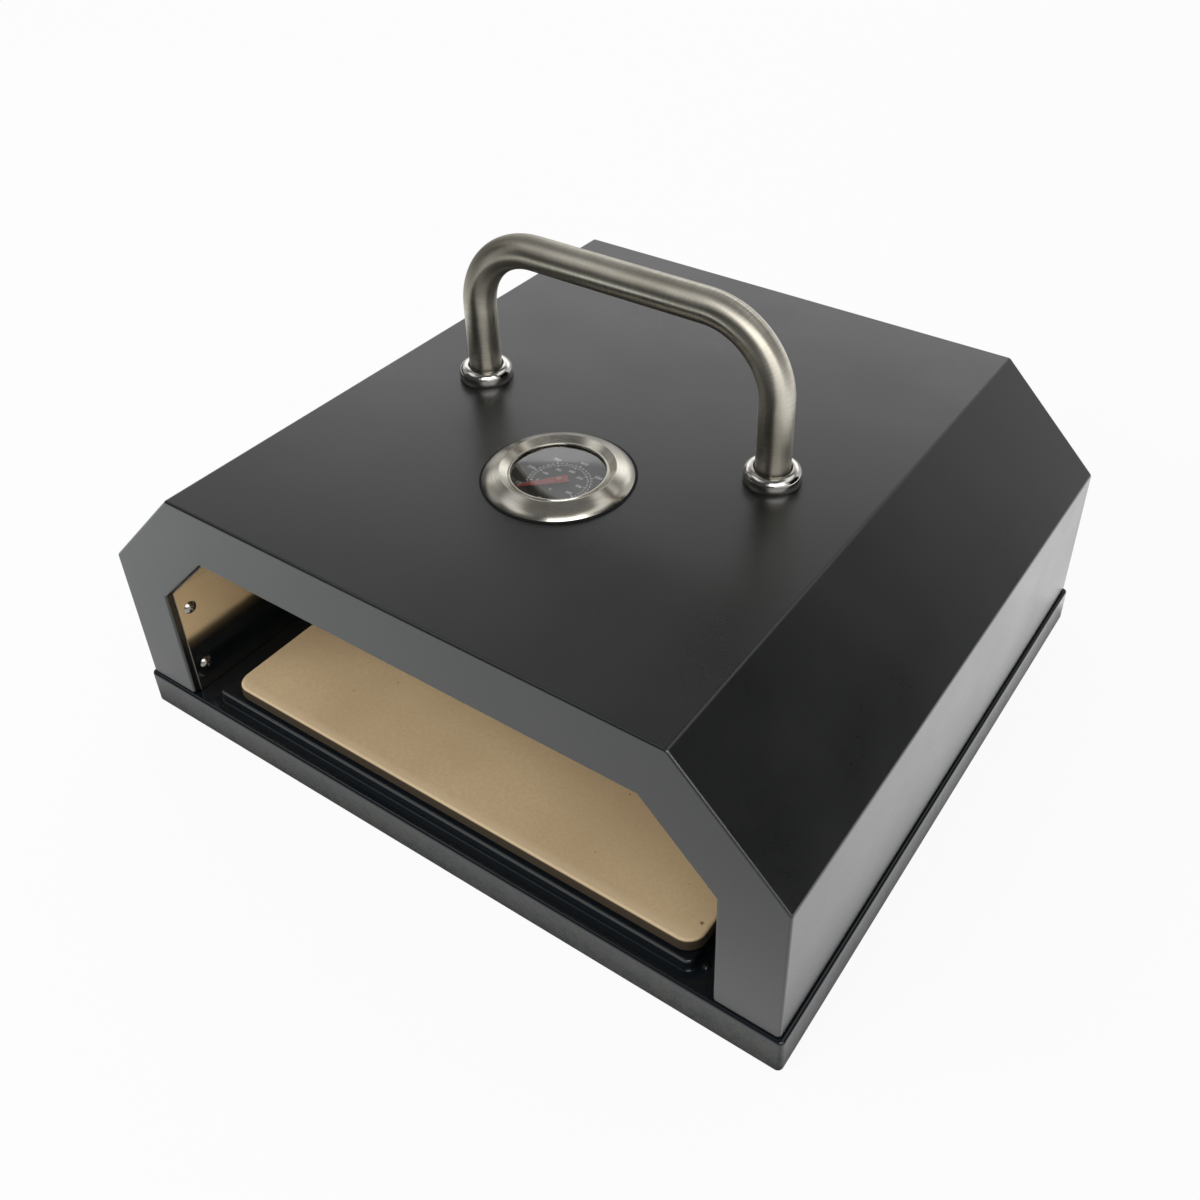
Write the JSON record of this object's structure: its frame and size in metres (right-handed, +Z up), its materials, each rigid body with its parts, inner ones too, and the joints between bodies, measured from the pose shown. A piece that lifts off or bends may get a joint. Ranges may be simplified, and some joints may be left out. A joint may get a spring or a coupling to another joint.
{
  "type": "portable pizza oven",
  "caption": "Lift-off pizza oven hood with a wide mouth, carry handle and dial thermometer, on a shallow heat tray with a loose baking stone.",
  "frame": {"origin": "middle of the tray's underside, on the surface that the oven stands on", "axes": "+Z up, +Y from the mouth to the back, +X to the right of someone who faces the mouth"},
  "size_m": [0.4044, 0.353, 0.2545],
  "materials": {
    "enamel_black": "glossy, slightly mottled enamel",
    "powder_coat_black": "satin powder coat",
    "stainless_liner": "bright rolled stainless",
    "stainless_brushed": "brushed stainless",
    "polished_steel": "polished",
    "screw_steel": "plated",
    "plain_steel": "zinc plated",
    "cordierite": "matt, fine grained",
    "gasket_black": "matt",
    "dial_black": "matt print",
    "needle_red": "satin",
    "brass": "turned",
    "dial_glass": "clear"
  },
  "bodies": {
    "base": {"base_tray": "enamel_black"},
    "stone": {"pizza_stone": "cordierite"},
    "hood": {"hood_shell": "powder_coat_black", "front_panel": "powder_coat_black", "back_panel": "powder_coat_black", "liner_shell": "stainless_liner", "liner_back": "stainless_liner", "liner_front_screws": "screw_steel", "liner_back_screws": "screw_steel", "handle_tube": "stainless_brushed", "handle_ferrule_left": "polished_steel", "handle_ferrule_right": "polished_steel", "handle_plug_left": "plain_steel", "handle_plug_right": "plain_steel", "handle_bolt_left": "plain_steel", "handle_bolt_right": "plain_steel", "handle_washer_left": "plain_steel", "handle_washer_right": "plain_steel", "thermometer_bezel": "stainless_brushed", "thermometer_gasket": "gasket_black", "thermometer_case": "plain_steel", "dial_plate": "dial_black", "lens_ring": "dial_black", "glass_lens": "dial_glass", "stem_neck": "brass", "stem_spacer": "plain_steel", "stem_washer": "plain_steel", "stem_nut": "brass", "stem_tube": "stainless_liner", "spindle_bush": "brass", "bimetal_coil": "plain_steel"},
    "needle": {"needle": "needle_red", "needle_spindle": "plain_steel"}
  },
  "joints": [
    {"name": "hood_lift", "type": "slide", "parent": "base", "child": "hood", "axis": [0, 0, 1], "range_m": [0, 0.2]},
    {"name": "stone_slide", "type": "slide", "parent": "base", "child": "stone", "axis": [0, -1, 0], "range_m": [0, 0.33]},
    {"name": "needle_turn", "type": "hinge", "parent": "hood", "child": "needle", "pos_m": [0.0021, -0.0557, 0.162], "axis": [0, 0, -1], "range_deg": [0, 270], "stiffness_Nm_per_rad": 0.0002}
  ]
}
